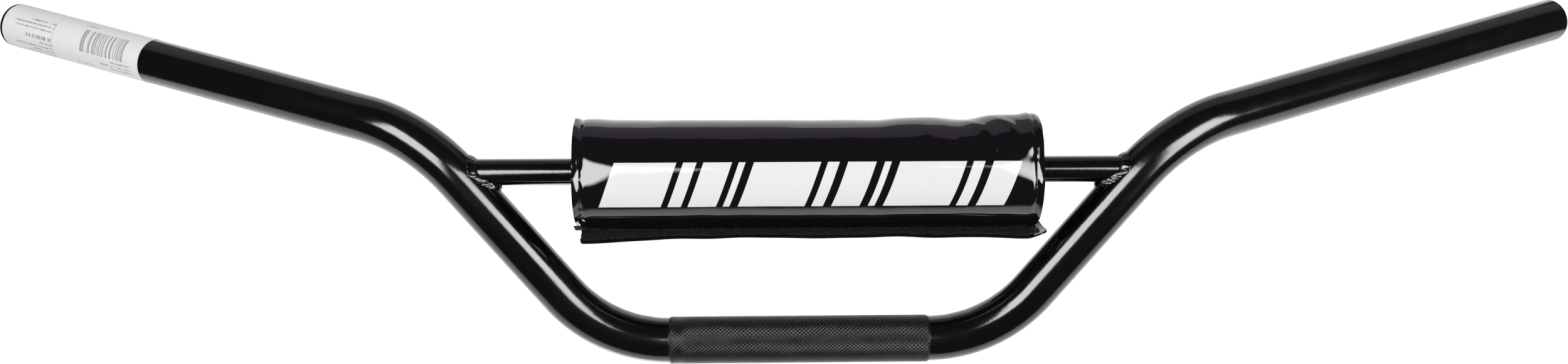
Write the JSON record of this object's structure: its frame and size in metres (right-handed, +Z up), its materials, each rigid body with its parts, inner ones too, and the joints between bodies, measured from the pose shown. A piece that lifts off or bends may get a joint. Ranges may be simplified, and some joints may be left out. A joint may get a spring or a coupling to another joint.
{
  "type": "all-terrain vehicle handlebar",
  "caption": "Bent tube handlebar with a knurled clamp zone, a welded crossbar and a wrap-round foam crossbar pad that turns on its bar.",
  "frame": {"origin": "on the tube's axis, in the middle of the knurled clamp zone", "axes": "+X along the clamp zone towards the grip without labels; +Z up in the plane of the risers and crossbar; +Y back towards the rider, the way the grips sweep"},
  "size_m": [0.827, 0.1283, 0.1666],
  "materials": {
    "painted_tube": "gloss",
    "label_paper": "matt",
    "foam": "matt",
    "cover_vinyl": "gloss",
    "closing_strip": "matt"
  },
  "bodies": {
    "handlebar": {"handlebar_tube": "painted_tube", "crossbar_tube": "painted_tube", "weld_left": "painted_tube", "weld_right": "painted_tube", "label_end": "label_paper", "label_inner": "label_paper"},
    "pad": {"pad_foam": "foam", "pad_cover": "cover_vinyl", "pad_end_left": "cover_vinyl", "pad_end_right": "cover_vinyl", "loop_strip": "closing_strip", "hook_strip": "closing_strip"}
  },
  "joints": [
    {"name": "pad_turn", "type": "hinge", "parent": "handlebar", "child": "pad", "pos_m": [0, 0, 0.0866], "axis": [1, 0, 0], "continuous": true}
  ]
}
